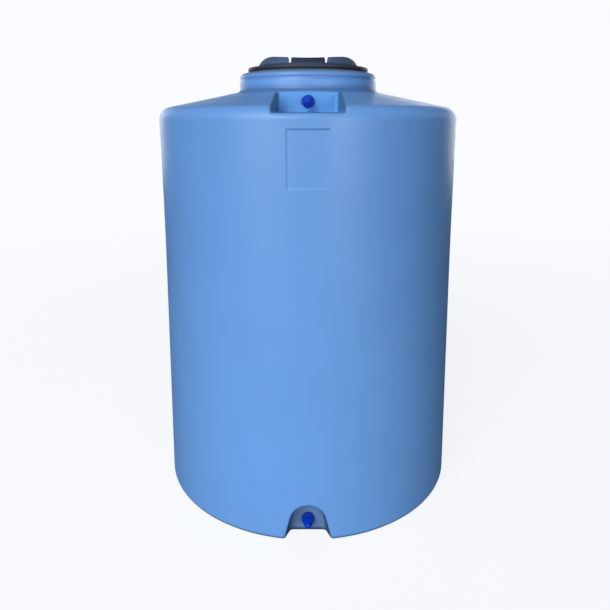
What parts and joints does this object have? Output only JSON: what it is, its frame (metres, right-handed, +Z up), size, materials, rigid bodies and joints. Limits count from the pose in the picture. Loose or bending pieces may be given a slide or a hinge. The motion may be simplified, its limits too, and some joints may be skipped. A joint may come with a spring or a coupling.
{
  "type": "livestock water tank",
  "caption": "Upright closed plastic water tank with a screw lid on a short neck, a plugged port in a shoulder pocket and a plugged outlet in a notch at its foot.",
  "frame": {"origin": "on the tank's axis, on the plane that it stands on", "axes": "+Z up along the tank's axis, -Y out of the front, where the pocket, the panel and the notch are, +X to the right"},
  "size_m": [0.8, 0.8, 1.1524],
  "materials": {
    "shell_polyethylene": "satin, rotomoulded",
    "lid_plastic": "satin, injection moulded",
    "vent_plastic": "satin",
    "seal_rubber": "matte",
    "screen_steel": "fine punched sheet",
    "insert_brass": "turned",
    "plug_plastic": "gloss"
  },
  "bodies": {
    "tank": {"tank_shell": "shell_polyethylene", "inlet_insert": "insert_brass", "outlet_insert": "insert_brass"},
    "lid_seal": {"lid_seal": "seal_rubber"},
    "lid": {"lid": "lid_plastic", "vent_cap": "vent_plastic", "vent_screen": "screen_steel"},
    "inlet_seal": {"inlet_plug_seal": "seal_rubber"},
    "inlet_plug": {"inlet_plug": "plug_plastic"},
    "outlet_seal": {"outlet_plug_seal": "seal_rubber"},
    "outlet_plug": {"outlet_plug": "plug_plastic"}
  },
  "joints": [
    {"name": "lid_rise", "type": "slide", "parent": "tank", "child": "lid_seal", "axis": [0, 0, 1], "range_m": [0, 0.033]},
    {"name": "lid_turn", "type": "hinge", "parent": "lid_seal", "child": "lid", "pos_m": [0, 0, 1.116], "axis": [0, 0, 1], "range_deg": [0, 990]},
    {"name": "inlet_plug_draw", "type": "slide", "parent": "tank", "child": "inlet_seal", "axis": [0, -1, 0], "range_m": [0, 0.0146]},
    {"name": "inlet_plug_turn", "type": "hinge", "parent": "inlet_seal", "child": "inlet_plug", "pos_m": [0, -0.21, 1.032], "axis": [0, -1, 0], "range_deg": [0, 2880]},
    {"name": "outlet_plug_draw", "type": "slide", "parent": "tank", "child": "outlet_seal", "axis": [0, -1, 0], "range_m": [0, 0.0146]},
    {"name": "outlet_plug_turn", "type": "hinge", "parent": "outlet_seal", "child": "outlet_plug", "pos_m": [0, -0.356, 0.034], "axis": [0, -1, 0], "range_deg": [0, 2880]}
  ],
  "couplings": [
    {"joint": "lid_rise", "follows": "lid_turn", "m_per_rad": 0.0019098},
    {"joint": "inlet_plug_draw", "follows": "inlet_plug_turn", "m_per_rad": 0.00028871},
    {"joint": "outlet_plug_draw", "follows": "outlet_plug_turn", "m_per_rad": 0.00028871}
  ]
}
